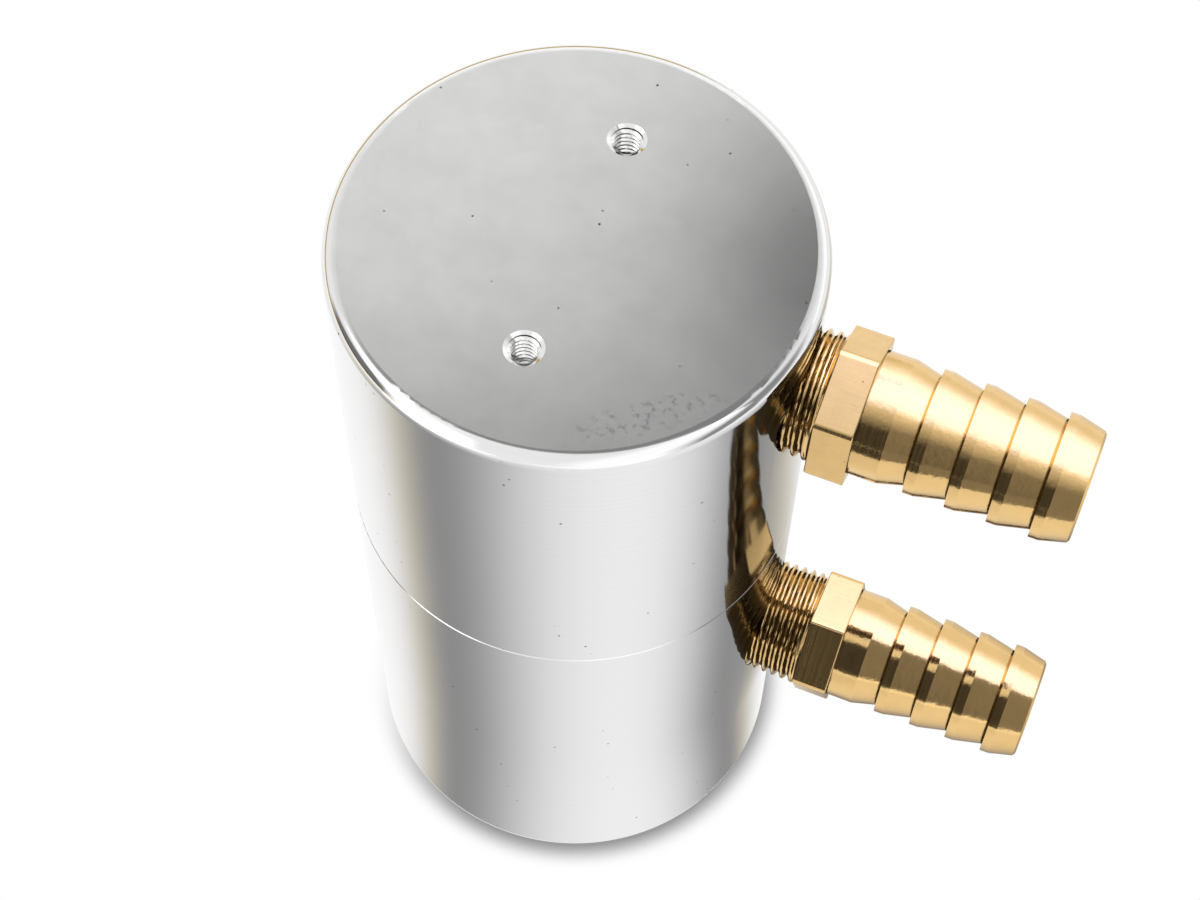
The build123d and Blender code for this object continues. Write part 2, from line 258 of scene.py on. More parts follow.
def turnedBrass(s):
    material, tree = newMaterial("turnedBrass")
    place = addNode(tree, "ShaderNodeTexCoord").outputs["Object"]
    onFlat = addNode(tree, "ShaderNodeAttribute", {"attribute_name": "flat"}).outputs["Fac"]
    along = addNode(tree, "ShaderNodeSeparateXYZ", None, {0: place}).outputs["X"]
    ring = addNode(tree, "ShaderNodeTexNoise", {"noise_dimensions": "1D"},
                   {"W": along, "Scale": 1 / s["ringPitch"], "Detail": 2.0})
    ring = addNode(tree, "ShaderNodeMapRange", None,
                   {"Value": ring.outputs["Fac"], "From Min": noiseSpan[0], "From Max": noiseSpan[1],
                    "To Min": -s["ringRoughness"], "To Max": s["ringRoughness"]}).outputs["Result"]
    drawn = addNode(tree, "ShaderNodeMapping", None,
                    {"Vector": place, "Scale": tuple(1 / size for size in s["grain"])})
    drawn = addNode(tree, "ShaderNodeTexNoise", None,
                    {"Vector": drawn.outputs[0], "Scale": 1.0, "Detail": 3.0, "Roughness": 0.6})
    drawn = addNode(tree, "ShaderNodeMapRange", None,
                    {"Value": drawn.outputs["Fac"], "From Min": noiseSpan[0], "From Max": noiseSpan[1],
                     "To Min": -s["grainTone"], "To Max": s["grainTone"]}).outputs["Result"]
    stain = addNode(tree, "ShaderNodeTexNoise", None,
                    {"Vector": place, "Scale": 1 / s["stainSize"], "Detail": 4.0, "Roughness": 0.6})
    stain = addNode(tree, "ShaderNodeMapRange", None,
                    {"Value": stain.outputs["Fac"], "From Min": s["stainSpan"][0],
                     "From Max": s["stainSpan"][1], "To Min": 1.0,
                     "To Max": 1 - s["stainTone"]}).outputs["Result"]
    tone = addNode(tree, "ShaderNodeMath", {"operation": "MULTIPLY_ADD"}, {0: drawn, 1: onFlat, 2: stain})
    colour = addNode(tree, "ShaderNodeVectorMath", {"operation": "SCALE"},
                     {0: linear(s["colour"])[:3], "Scale": tone.outputs[0]})
    speckled = addNode(tree, "ShaderNodeMix", {"data_type": "RGBA"},
                       {"Factor": pits(tree, place, s), "A": colour.outputs["Vector"],
                        "B": linear(s["pitColour"])})
    rough = addNode(tree, "ShaderNodeMapRange", None,
                    {"Value": onFlat, "To Min": s["roughness"], "To Max": s["flatRoughness"]})
    rough = addNode(tree, "ShaderNodeMath", {"operation": "ADD"}, {0: ring, 1: rough.outputs["Result"]})
    chatter = addNode(tree, "ShaderNodeTexNoise", None,
                      {"Vector": place, "Scale": 1 / s["chatterSize"], "Detail": 2.0})
    shaken = addNode(tree, "ShaderNodeMapRange", None,
                     {"Value": onFlat, "To Min": 1.0, "To Max": s["flatChatter"]})
    bump = addNode(tree, "ShaderNodeBump", None,
                   {"Height": chatter.outputs["Fac"], "Distance": s["chatterDepth"],
                    "Strength": shaken.outputs["Result"]})
    around = addNode(tree, "ShaderNodeTangent", {"direction_type": "RADIAL", "axis": "X"})
    shader = addNode(tree, "ShaderNodeBsdfPrincipled", None, {
        "Base Color": speckled.outputs["Result"], "Metallic": 1.0, "Roughness": rough.outputs[0],
        "Anisotropic": s["anisotropy"], "Anisotropic Rotation": acrossTangent,
        "Tangent": around.outputs["Tangent"], "Normal": bump.outputs["Normal"]})
    output(tree, shader.outputs["BSDF"])
    return material


# moulded nitrile rubber, wiped with oil: near black, satin, glossier where the oil lies
nitrileSet = {"colour": "#17181A", "dryRoughness": 0.55, "oilRoughness": 0.28, "oilSize": 3 * mm,
              "oilSpan": (0.4, 0.6), "grainSize": 0.25 * mm, "grainDepth": 0.008 * mm, "refraction": 1.52}


def mouldedNitrile(s):
    material, tree = newMaterial("mouldedNitrile")
    place = addNode(tree, "ShaderNodeTexCoord").outputs["Object"]
    oil = addNode(tree, "ShaderNodeTexNoise", None,
                  {"Vector": place, "Scale": 1 / s["oilSize"], "Detail": 3.0})
    rough = addNode(tree, "ShaderNodeMapRange", None,
                    {"Value": oil.outputs["Fac"], "From Min": s["oilSpan"][0], "From Max": s["oilSpan"][1],
                     "To Min": s["dryRoughness"], "To Max": s["oilRoughness"]})
    grain = addNode(tree, "ShaderNodeTexNoise", None, {"Vector": place, "Scale": 1 / s["grainSize"]})
    bump = addNode(tree, "ShaderNodeBump", None,
                   {"Height": grain.outputs["Fac"], "Distance": s["grainDepth"], "Strength": 1.0})
    shader = addNode(tree, "ShaderNodeBsdfPrincipled", None, {
        "Base Color": linear(s["colour"]), "Roughness": rough.outputs["Result"], "IOR": s["refraction"],
        "Normal": bump.outputs["Normal"]})
    output(tree, shader.outputs["BSDF"])
    return material


# steels that differ only in colour, polish and grain: stainless sheet with rolling lines along one
# way, drawn stainless wire with patches of polish, and blackened spring steel under oil
steelSets = {
    "punchedStainless": {"colour": "#C9C7C2", "dark": "#B4B2AC", "roughness": (0.24, 0.36),
                         "grain": (6 * mm, 0.18 * mm, 0.18 * mm)},
    "knittedStainless": {"colour": "#CFCDC8", "dark": "#A9A6A0", "roughness": (0.18, 0.34),
                         "grain": (2 * mm, 2 * mm, 1 * mm)},
    "oiledSpringSteel": {"colour": "#47474A", "dark": "#2E2E31", "roughness": (0.22, 0.46),
                         "grain": (1.5 * mm, 1.5 * mm, 1.5 * mm)},
}


def steel(name, s):
    material, tree = newMaterial(name)
    place = addNode(tree, "ShaderNodeTexCoord").outputs["Object"]
    grain = addNode(tree, "ShaderNodeMapping", None,
                    {"Vector": place, "Scale": tuple(1 / size for size in s["grain"])})
    grain = addNode(tree, "ShaderNodeTexNoise", None,
                    {"Vector": grain.outputs[0], "Scale": 1.0, "Detail": 4.0})
    share = addNode(tree, "ShaderNodeMapRange", None,
                    {"Value": grain.outputs["Fac"], "From Min": noiseCore[0],
                     "From Max": noiseCore[1]}).outputs["Result"]
    colour = addNode(tree, "ShaderNodeMix", {"data_type": "RGBA"},
                     {"Factor": share, "A": linear(s["colour"]), "B": linear(s["dark"])})
    rough = addNode(tree, "ShaderNodeMapRange", None,
                    {"Value": share, "To Min": s["roughness"][0], "To Max": s["roughness"][1]})
    shader = addNode(tree, "ShaderNodeBsdfPrincipled", None, {
        "Base Color": colour.outputs["Result"], "Metallic": 1.0, "Roughness": rough.outputs["Result"]})
    output(tree, shader.outputs["BSDF"])
    return material


aluminium = turnedAluminium(aluminiumSet)
tapped = tappedAluminium(tappedSet)
brass = turnedBrass(brassSet)
steels = {name: steel(name, s) for name, s in steelSets.items()}
for name in ("upper_body", "lower_body"):
    dress(nodes[name], aluminium)
for name in ("upper_screen", "lower_screen"):
    dress(nodes[name], steels["punchedStainless"])
dress(nodes["snap_ring"], steels["oiledSpringSteel"])
dress(nodes["seal_ring"], mouldedNitrile(nitrileSet))
print("materials made")

# Hose barbs: pipe thread, hexagon, neck, barbs and bore as one turned piece
barbSet = {
    "threadLength": 10.4 * mm, "threadRadius": 8.55 * mm, "threadTaper": 1 / 32, "threadPitch": 1.411 * mm,
    "threadDepth": 0.72 * mm, "threadFade": 1.0 * mm, "startChamfer": 0.8 * mm,
    "grooveSwing": 0.58,  # over a half, so that crests and roots are a little flat
    "hexLength": 5.2 * mm, "hexFlats": 17.46 * mm, "hexBreak": 0.12 * mm,
    "neckLand": 3.8 * mm, "neckLength": 7.4 * mm, "barbRadius": 8.25 * mm, "barbDepth": 0.95 * mm,
    "barbLand": 1.3 * mm, "barbPitch": 5.48 * mm, "barbCount": 4, "tipLength": 5.0 * mm,
    "tipBreak": 0.3 * mm, "boreRadius": 5.8 * mm, "crisp": 0.06 * mm,
    "columns": 240, "rowsPerTurn": 20, "sharp": 24,
}


# radius of the barb at (distance along the axis, angle): the thread is a cone less a rounded groove
# that advances one pitch a turn, the hexagon is its flat distance over the cosine of the angle from
# the nearest flat, and the rest is a plain turned profile
def hoseBarb(name, node, hexCorner, s):
    low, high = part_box(node)
    tip = s["hexLength"] + s["neckLength"] + (s["barbCount"] - 1) * s["barbPitch"] + s["tipLength"]
    faceX = high.x - tip  # where the hexagon starts
    axisZ = (low.z + high.z) / 2
    angle = hexCorner + np.linspace(0, 2 * np.pi, s["columns"], endpoint=False)  # from +Y towards +Z

    def turned(profile):
        # each corner of the profile gets a close point on both sides, so that it shades crisply
        p = np.array(profile, float)
        step = np.diff(p, axis=0)
        unit = step / np.linalg.norm(step, axis=1, keepdims=True)
        rows = np.concatenate([p[:-1, None], (p[:-1] + unit * s["crisp"])[:, None],
                               (p[1:] - unit * s["crisp"])[:, None]], 1).reshape(-1, 2)
        rows = np.vstack([rows, p[-1:]])
        return rows[:, :1] + 0 * angle, rows[:, 1:] + 0 * angle

    def threaded():
        turns = s["threadLength"] / s["threadPitch"]
        along = np.linspace(-s["threadLength"], 0, int(turns * s["rowsPerTurn"]))[:, None]
        crest = s["threadRadius"] + along * s["threadTaper"]
        turn = along / s["threadPitch"] - angle / (2 * np.pi)
        groove = np.clip(0.5 - s["grooveSwing"] * np.cos(2 * np.pi * turn), 0, 1)
        fade = np.clip(-along / s["threadFade"], 0, 1)
        start = s["threadRadius"] - s["threadLength"] * s["threadTaper"] - s["startChamfer"]
        chamfer = start + along + s["threadLength"]
        return along + 0 * angle, np.minimum(crest - s["threadDepth"] * groove * fade, chamfer)

    def hexagon():
        flat = s["hexFlats"] / 2
        corner = flat / math.cos(math.pi / 6) - s["hexBreak"]
        fromFlat = np.mod(angle - hexCorner, np.pi / 3) - np.pi / 6
        full = np.minimum(flat / np.cos(fromFlat), corner)
        inset = full - s["hexBreak"]
        along = np.array([0, s["hexBreak"], s["hexLength"] - s["hexBreak"], s["hexLength"]])[:, None]
        return along + 0 * angle, np.stack([inset, full, full, inset])

    root = s["barbRadius"] - s["barbDepth"]
    neck = [(s["hexLength"], s["barbRadius"]), (s["hexLength"] + s["neckLand"], s["barbRadius"])]
    for i in range(s["barbCount"]):
        shoulder = s["hexLength"] + s["neckLength"] + i * s["barbPitch"]
        neck += [(shoulder, root), (shoulder, s["barbRadius"]), (shoulder + s["barbLand"], s["barbRadius"])]
    endSlope = root + s["barbDepth"] * s["tipBreak"] / (s["tipLength"] - s["barbLand"])
    neck += [(tip - s["tipBreak"], endSlope), (tip, root - s["tipBreak"]),
             (tip, s["boreRadius"] + s["tipBreak"]), (tip - s["tipBreak"], s["boreRadius"]),
             (-s["threadLength"], s["boreRadius"])]
    parts = [threaded(), hexagon(), turned(neck)]
    along = np.vstack([p[0] for p in parts])
    radius = np.vstack([p[1] for p in parts])
    flat = np.vstack([0 * parts[0][0], 0 * parts[1][0] + 1, 0 * parts[2][0]])
    points = np.stack([faceX + along, radius * np.cos(angle), axisZ + radius * np.sin(angle)], -1)
    return gridPiece(name, points, wrapRows=True, wrapCols=True, flip=True, sharp=s["sharp"],
                     attributes={"flat": flat})


hoseBarbs = {}
for name, node, body, corner in (("upperHoseBarb", "upper_hose_barb", "head", 24.0),
                                 ("lowerHoseBarb", "lower_hose_barb", "cup", 50.5)):
    barb = hoseBarb(name, node, math.radians(corner), barbSet)
    dress(barb, brass)
    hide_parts(node)
    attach(barb, body)
    hoseBarbs[name] = barb
print("hose barbs made")

# Thread ridges: two small tapped holes, the head's spigot and the cup's socket. Heights are from the
# top of the head for the holes, and from the seam for the joint; base and flat are shares of the pitch
tapSet = {"spacing": 33.7 * mm, "root": 2.12 * mm, "crest": 1.7 * mm, "pitch": 0.794 * mm,
          "bottom": -6.0 * mm, "top": -0.35 * mm, "base": 0.47, "flat": 0.13, "start": 0,
          "stepsPerTurn": 48}
spigotSet = {"root": 27.06 * mm, "crest": 27.95 * mm, "pitch": 1.5 * mm, "bottom": -11.7 * mm,
             "top": -5.1 * mm, "base": 0.42, "flat": 0.06, "start": 0, "stepsPerTurn": 180}
socketSet = {"root": 28.07 * mm, "crest": 27.2 * mm, "pitch": 1.5 * mm, "bottom": -12.2 * mm,
             "top": -5.0 * mm, "base": 0.42, "flat": 0.06, "start": 60, "stepsPerTurn": 180}
ridgeSet = {"runOut": 0.35, "sharp": 30}  # part of a turn that each end takes to taper off


# a ridge of triangular section with a flat crest, carried up a right-handed helix and tapering to
# nothing at both ends; one parameter runs along the helix, the other across the section
def threadRidge(name, s, centre, datum):
    turns = (s["top"] - s["bottom"]) / s["pitch"]
    along = np.linspace(0, 1, int(turns * s["stepsPerTurn"]))[:, None]
    turn = math.radians(s["start"]) + 2 * np.pi * turns * along
    taper = np.clip(np.minimum(along, 1 - along) * turns / ridgeSet["runOut"], 0, 1)
    # section: (share of the ridge's height, share of the pitch up from its middle)
    section = np.array([(0, -s["base"]), (1, -s["flat"]), (1, s["flat"]), (0, s["base"])])
    radius = s["root"] + (s["crest"] - s["root"]) * section[:, 0] * taper
    height = datum + s["bottom"] + along * (s["top"] - s["bottom"]) + s["pitch"] * section[:, 1] * taper
    points = np.stack([centre[0] + radius * np.cos(turn), centre[1] + radius * np.sin(turn),
                       height + 0 * radius], -1)
    return gridPiece(name, points, wrapCols=True, flip=s["crest"] < s["root"], sharp=ridgeSet["sharp"])


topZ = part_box("upper_body")[1].z
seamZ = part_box("lower_body")[1].z
ridges = [
    ("bracketThreadBack", tapSet, (0, 0.5 * tapSet["spacing"]), topZ, "head", tapped),
    ("bracketThreadFront", tapSet, (0, -0.5 * tapSet["spacing"]), topZ, "head", tapped),
    ("spigotThread", spigotSet, (0, 0), seamZ, "head", aluminium),
    ("socketThread", socketSet, (0, 0), seamZ, "cup", aluminium),
]
for name, s, centre, datum, body, material in ridges:
    ridge = threadRidge(name, s, centre, datum)
    dress(ridge, material)
    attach(ridge, body)
print("thread ridges made")

# Filter pad: knitted wire in layers, in the space between the two screens
knitSet = {"wire": 0.14 * mm, "layers": 12, "rowGap": 3.4 * mm, "stitch": 4.0 * mm, "swing": 2.1 * mm,
           "curl": 0.7 * mm, "lift": 0.36 * mm, "inner": 2.0 * mm, "climbStitches": 2,
           "stepsPerStitch": 10, "sides": 4, "endSteps": 3}


# one wire all the way: a flat spiral out, then back in on the next layer, with its turns evenly
# stepped. On it the wire swings across the row once a stitch, and curls along it and lifts twice a
# stitch, so that neighbouring rows hook into each other
def knittedPad(name, node, s):
    low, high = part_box(node)
    outer = (high.x - low.x) / 2 - s["swing"] - s["wire"]
    # length of a spiral whose rows lie one gap apart, and the angle at a given length along it
    slope = s["rowGap"] / (2 * np.pi)
    full = (outer ** 2 - s["inner"] ** 2) / (2 * slope)
    stitches = int(full / s["stitch"])
    count = s["layers"] * stitches * s["stepsPerStitch"]
    run = np.linspace(0, s["layers"], count)
    share = np.abs((run + 1) % 2 - 1)  # 0 at the inner end of a layer, 1 at the outer end
    radius = np.sqrt(s["inner"] ** 2 + 2 * slope * full * share)
    angle = np.cumsum(np.abs(np.gradient(radius)) / slope)
    phase = 2 * np.pi * stitches * run
    layerHeight = (high.z - low.z - 2 * (s["lift"] + s["wire"])) / (s["layers"] - 1)
    layer = np.minimum(np.floor(run), s["layers"] - 1)
    into = np.clip((run - layer) * stitches / s["climbStitches"], 0, 1) - 1  # climbs to its layer
    height = low.z + s["lift"] + s["wire"] + layerHeight * np.maximum(layer + into, 0)
    across = radius + s["swing"] * np.cos(phase)
    turn = angle + s["curl"] * np.sin(2 * phase) / radius
    path = np.stack([across * np.cos(turn), across * np.sin(turn),
                     height + s["lift"] * np.cos(2 * phase)], -1)
    ahead = np.gradient(path, axis=0)
    ahead /= np.linalg.norm(ahead, axis=1, keepdims=True)
    side = np.cross(ahead, (0, 0, 1))
    side /= np.linalg.norm(side, axis=1, keepdims=True)
    above = np.cross(side, ahead)
    around = 2 * np.pi * np.arange(s["sides"]) / s["sides"]
    fromEnd = np.minimum(np.arange(count), count - 1 - np.arange(count))
    thick = s["wire"] * np.clip(fromEnd / s["endSteps"], 0, 1)
    ringOut = side[:, None] * np.cos(around)[:, None] + above[:, None] * np.sin(around)[:, None]
    points = path[:, None] + thick[:, None, None] * ringOut
    return gridPiece(name, points, wrapCols=True)


pad = knittedPad("knittedPad", "mesh_pack", knitSet)
dress(pad, steels["knittedStainless"])
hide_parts("mesh_pack")
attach(pad, "head")
print("filter pad made")


# Studio: paper floor, a soft sky, cards that only mirrors see, and lights for reflections

def studioMaterial(name):
    material, tree = newMaterial(name)
    material.cycles.emission_sampling = "NONE"  # found by mirror rays, so no lamp samples are spent on it
    return material, tree


floorSet = {"colour": "#F0F0F0", "size": 6.0, "drop": 0.05 * mm, "shadowReach": 5.5 * mm, "samples": 16,
            "openFrom": 0.45, "openTo": 0.92, "lightSide": (-34 * mm, -6 * mm), "shadow": (0.95, 0.33),
            "later": 0.03}


# white to the camera and in a first reflection, with a contact shadow where the object closes the
# floor in, which fades on the left, where the light comes from; dim in later reflections, and plain
# paper to the rest of the light
def paperFloor(s):
    reach = np.linspace(-s["size"] / 2, s["size"] / 2, 3)
    x, y = np.meshgrid(reach, reach, indexing="ij")
    floor = gridPiece("floor", np.stack([x, y, 0 * x - s["drop"]], -1))
    material, tree = studioMaterial("paperFloor")
    rays = addNode(tree, "ShaderNodeLightPath").outputs
    mirror = addNode(tree, "ShaderNodeMath", {"operation": "MAXIMUM"},
                     {0: rays["Is Glossy Ray"], 1: rays["Is Transmission Ray"]})
    seen = addNode(tree, "ShaderNodeMath", {"operation": "MAXIMUM"},
                   {0: rays["Is Camera Ray"], 1: mirror.outputs[0]})
    openness = addNode(tree, "ShaderNodeAmbientOcclusion", {"samples": s["samples"]},
                       {"Distance": s["shadowReach"]})
    place = addNode(tree, "ShaderNodeTexCoord").outputs["Object"]
    rightward = addNode(tree, "ShaderNodeSeparateXYZ", None, {0: place}).outputs["X"]
    deep = addNode(tree, "ShaderNodeMapRange", {"interpolation_type": "SMOOTHSTEP"},
                   {"Value": rightward, "From Min": s["lightSide"][0], "From Max": s["lightSide"][1],
                    "To Min": s["shadow"][0], "To Max": s["shadow"][1]})
    white = addNode(tree, "ShaderNodeMapRange", {"interpolation_type": "SMOOTHSTEP"},
                    {"Value": openness.outputs["AO"], "From Min": s["openFrom"], "From Max": s["openTo"],
                     "To Min": deep.outputs["Result"]})
    mirrored = addNode(tree, "ShaderNodeMapRange", {"interpolation_type": "STEPPED"},
                       {"Value": rays["Ray Depth"], "From Min": 1.0, "From Max": 2.0, "To Min": 1.0,
                        "To Max": s["later"], "Steps": 1.0})
    white = addNode(tree, "ShaderNodeMix", None, {"Factor": mirror.outputs[0], "A": white.outputs["Result"],
                                                  "B": mirrored.outputs["Result"]})
    paper = addNode(tree, "ShaderNodeBsdfDiffuse", None, {"Color": linear(s["colour"])})
    glow = addNode(tree, "ShaderNodeEmission", None, {"Strength": white.outputs["Result"]})
    both = addNode(tree, "ShaderNodeMixShader", None,
                   {0: seen.outputs[0], 1: paper.outputs[0], 2: glow.outputs[0]})
    output(tree, both.outputs[0])
    dress(floor, material)


paperFloor(floorSet)

# azimuths are from +Y towards +X, in degrees; each dark patch is (azimuth, elevation, radius, core,
# level), the first of them overhead. The room in front of the table is dark, and paler away to its right
skySet = {
    "low": 0.93, "level": 0.86, "horizonColour": "#C4A448", "front": 0.05, "frontRight": 0.27,
    "patches": [(0, 90, 32.3, 29.6, 0.25), (86, 24, 30, 10, 0.3), (-115, 14, 24, 13, 0.2)],
    "laterLeft": 0.22, "laterLow": 0.03, "laterHigh": 0.3, "laterInFront": 0.15,
    "laterDepth": 2.5,  # the sky counts as one more step of the ray, so its first reflection has depth 2
    "angles": {"lowTo": 36, "levelFrom": 46, "horizonFrom": 3, "horizonTo": 10, "warmLeft": -9,
               "warmTo": -3, "frontEdge": 1.5, "frontLeft": -12, "frontLeftTo": -22, "paleFrom": 13,
               "paleTo": 25, "laterFrom": -6, "laterTo": 9, "laterRise": 26, "laterRisen": 55,
               "laterFront": -20, "laterBack": -4},
}


# a level that falls towards the top, with a warm band along the horizon behind on the left, times the
# dark patches, and dark in front; in later reflections a dim level that is darkest in front and low on
# the right
def studioSky(s):
    world = bpy.data.worlds.new("studioSky")
    bpy.context.scene.world = world
    world.use_nodes = True
    tree = world.node_tree
    tree.nodes.clear()
    direction = addNode(tree, "ShaderNodeTexCoord").outputs["Generated"]
    part = addNode(tree, "ShaderNodeSeparateXYZ", None, {0: direction}).outputs
    sine = {key: math.sin(math.radians(angle)) for key, angle in s["angles"].items()}
    above = addNode(tree, "ShaderNodeMapRange", {"interpolation_type": "SMOOTHSTEP"},
                    {"Value": part["Z"], "From Min": sine["horizonFrom"], "From Max": sine["horizonTo"]})
    level = addNode(tree, "ShaderNodeMapRange", {"interpolation_type": "SMOOTHSTEP"},
                    {"Value": part["Z"], "From Min": sine["lowTo"], "From Max": sine["levelFrom"],
                     "To Min": s["low"], "To Max": s["level"]}).outputs["Result"]
    for azimuth, elevation, radius, core, dark in s["patches"]:
        a, e = math.radians(azimuth), math.radians(elevation)
        towards = (math.sin(a) * math.cos(e), math.cos(a) * math.cos(e), math.sin(e))
        near = addNode(tree, "ShaderNodeVectorMath", {"operation": "DOT_PRODUCT"}, {0: direction, 1: towards})
        patch = addNode(tree, "ShaderNodeMapRange", {"interpolation_type": "SMOOTHSTEP"},
                        {"Value": near.outputs["Value"], "From Min": math.cos(math.radians(radius)),
                         "From Max": math.cos(math.radians(core)), "To Min": 1.0, "To Max": dark})
        level = addNode(tree, "ShaderNodeMath", {"operation": "MULTIPLY"},
                        {0: level, 1: patch.outputs["Result"]}).outputs[0]
    front = addNode(tree, "ShaderNodeMapRange", None,
                    {"Value": part["X"], "From Min": sine["paleFrom"], "From Max": sine["paleTo"],
                     "To Min": s["front"], "To Max": s["frontRight"]})
    inFront = addNode(tree, "ShaderNodeMapRange", None,
                      {"Value": part["Y"], "From Min": sine["frontEdge"], "From Max": -sine["frontEdge"]})
    notLeft = addNode(tree, "ShaderNodeMapRange", None,
                      {"Value": part["X"], "From Min": sine["frontLeftTo"], "From Max": sine["frontLeft"]})
    inFront = addNode(tree, "ShaderNodeMath", {"operation": "MULTIPLY"},
                      {0: inFront.outputs["Result"], 1: notLeft.outputs["Result"]})
    plain = addNode(tree, "ShaderNodeMath", {"operation": "MAXIMUM"},
                    {0: above.outputs["Result"], 1: inFront.outputs[0]})
    warmEnd = addNode(tree, "ShaderNodeMapRange", {"interpolation_type": "SMOOTHSTEP"},
                      {"Value": part["X"], "From Min": sine["warmLeft"], "From Max": sine["warmTo"]})
    plain = addNode(tree, "ShaderNodeMath", {"operation": "MAXIMUM"},
                    {0: plain.outputs[0], 1: warmEnd.outputs["Result"]})
    colour = addNode(tree, "ShaderNodeMix", {"data_type": "RGBA"},
                     {"Factor": plain.outputs[0], "A": linear(s["horizonColour"]), "B": linear("#FFFFFF")})
    rays = addNode(tree, "ShaderNodeLightPath").outputs
    isLater = addNode(tree, "ShaderNodeMath", {"operation": "GREATER_THAN"},
                      {0: rays["Ray Depth"], 1: s["laterDepth"]})
    onRight = addNode(tree, "ShaderNodeMapRange", None,
                      {"Value": part["Z"], "From Min": sine["laterRise"], "From Max": sine["laterRisen"],
                       "To Min": s["laterLow"], "To Max": s["laterHigh"]})
    later = addNode(tree, "ShaderNodeMapRange", None,
                    {"Value": part["X"], "From Min": sine["laterFrom"], "From Max": sine["laterTo"],
                     "To Min": s["laterLeft"], "To Max": onRight.outputs["Result"]})
    share = addNode(tree, "ShaderNodeMapRange", None,
                    {"Value": part["Y"], "From Min": sine["laterFront"], "From Max": sine["laterBack"],
                     "To Min": s["laterInFront"], "To Max": 1.0})
    later = addNode(tree, "ShaderNodeMath", {"operation": "MULTIPLY"},
                    {0: later.outputs["Result"], 1: share.outputs["Result"]})
    level = addNode(tree, "ShaderNodeMix", None,
                    {"Factor": inFront.outputs[0], "A": level, "B": front.outputs["Result"]})
    level = addNode(tree, "ShaderNodeMix", None,
                    {"Factor": isLater.outputs[0], "A": level.outputs["Result"], "B": later.outputs[0]})
    seen = rays["Is Camera Ray"]
    white = addNode(tree, "ShaderNodeMix", {"data_type": "RGBA"},
                    {"Factor": seen, "A": colour.outputs["Result"], "B": linear("#FFFFFF")})
    level = addNode(tree, "ShaderNodeMath", {"operation": "MAXIMUM"}, {0: level.outputs["Result"], 1: seen})
    sky = addNode(tree, "ShaderNodeBackground", None,
                  {"Color": white.outputs["Result"], "Strength": level.outputs[0]})
    addNode(tree, "ShaderNodeOutputWorld", None, {"Surface": sky.outputs[0]})


studioSky(skySet)


# cards are for mirrors only: they throw no shadow, light nothing else and stay out of the picture
def mirrorOnly(card, material):
    dress(card, material)
    card.visible_camera = False
    card.visible_diffuse = False
    card.visible_shadow = False


# a card that hides what its cover attribute says, as light as its tone attribute says; what it lets
# through is warm where its warm attribute says
def darkCard(card, colour, through="#FFFFFF"):
    material, tree = studioMaterial(card.name + "Paper")
    cover = addNode(tree, "ShaderNodeAttribute", {"attribute_name": "cover"})
    warm = addNode(tree, "ShaderNodeAttribute", {"attribute_name": "warm"})
    tint = addNode(tree, "ShaderNodeMix", {"data_type": "RGBA"},
                   {"Factor": warm.outputs["Fac"], "A": linear("#FFFFFF"), "B": linear(through)})
    clear = addNode(tree, "ShaderNodeBsdfTransparent", None, {"Color": tint.outputs["Result"]})
    tone = addNode(tree, "ShaderNodeAttribute", {"attribute_name": "tone"})
    paper = addNode(tree, "ShaderNodeEmission", None,
                    {"Color": linear(colour), "Strength": tone.outputs["Fac"]})
    both = addNode(tree, "ShaderNodeMixShader", None,
                   {0: cover.outputs["Fac"], 1: clear.outputs[0], 2: paper.outputs[0]})
    output(tree, both.outputs[0])
    mirrorOnly(card, material)


# a card that hides nothing and adds its light: in a first reflection cool by its peak attribute and
# white by its fill attribute, and in a second one white by its second attribute. It lights the given
# pieces alone, or everything but them
def glowCard(card, colour, pieces, state):
    material, tree = studioMaterial(card.name + "Light")
    depth = addNode(tree, "ShaderNodeLightPath").outputs["Ray Depth"]
    total = addNode(tree, "ShaderNodeBsdfTransparent").outputs[0]
    margin = 0.1  # depths are whole numbers
    for label, tint, reflection in (("peak", colour, 1), ("fill", "#FFFFFF", 1), ("second", "#FFFFFF", 2)):
        amount = addNode(tree, "ShaderNodeAttribute", {"attribute_name": label})
        now = addNode(tree, "ShaderNodeMath", {"operation": "COMPARE"}, {0: depth, 1: reflection, 2: margin})
        amount = addNode(tree, "ShaderNodeMath", {"operation": "MULTIPLY"},
                         {0: amount.outputs["Fac"], 1: now.outputs[0]})
        light = addNode(tree, "ShaderNodeEmission", None,
                        {"Color": linear(tint), "Strength": amount.outputs[0]})
        total = addNode(tree, "ShaderNodeAddShader", None, {0: total, 1: light.outputs[0]}).outputs[0]
    output(tree, total)
    lit = bpy.data.collections.new(card.name + "Lit")
    for piece in pieces:
        lit.objects.link(piece)
    for member in lit.collection_objects:
        member.light_linking.link_state = state
    card.light_linking.receiver_collection = lit
    mirrorOnly(card, material)


# the can's wall mirrors the floor along rays that leave it at twice the wall's own angle from the
# camera; the cards are laid out on those rays, (angle of the wall, distance from it), and cover the
# floor near two angles, which lie wider close to the wall, fading to both sides and warm on the outer
sideCardSet = {
    "towardsCamera": 20.94, "colour": "#404040", "through": "#FFF9EA", "height": 0.4 * mm, "cover": 0.74,
    "left": (-36.5, -35), "leftSpread": (15, 26), "right": (53, 48), "rightSpread": (13, 38, 21),
    "rightInner": 18, "near": (3 * mm, 16 * mm), "far": (12 * mm, 20 * mm, 55 * mm),
    "start": 0.2 * mm, "fade": (80 * mm, 500 * mm), "wallReach": 85, "wallSteps": 341, "awaySteps": 17,
}


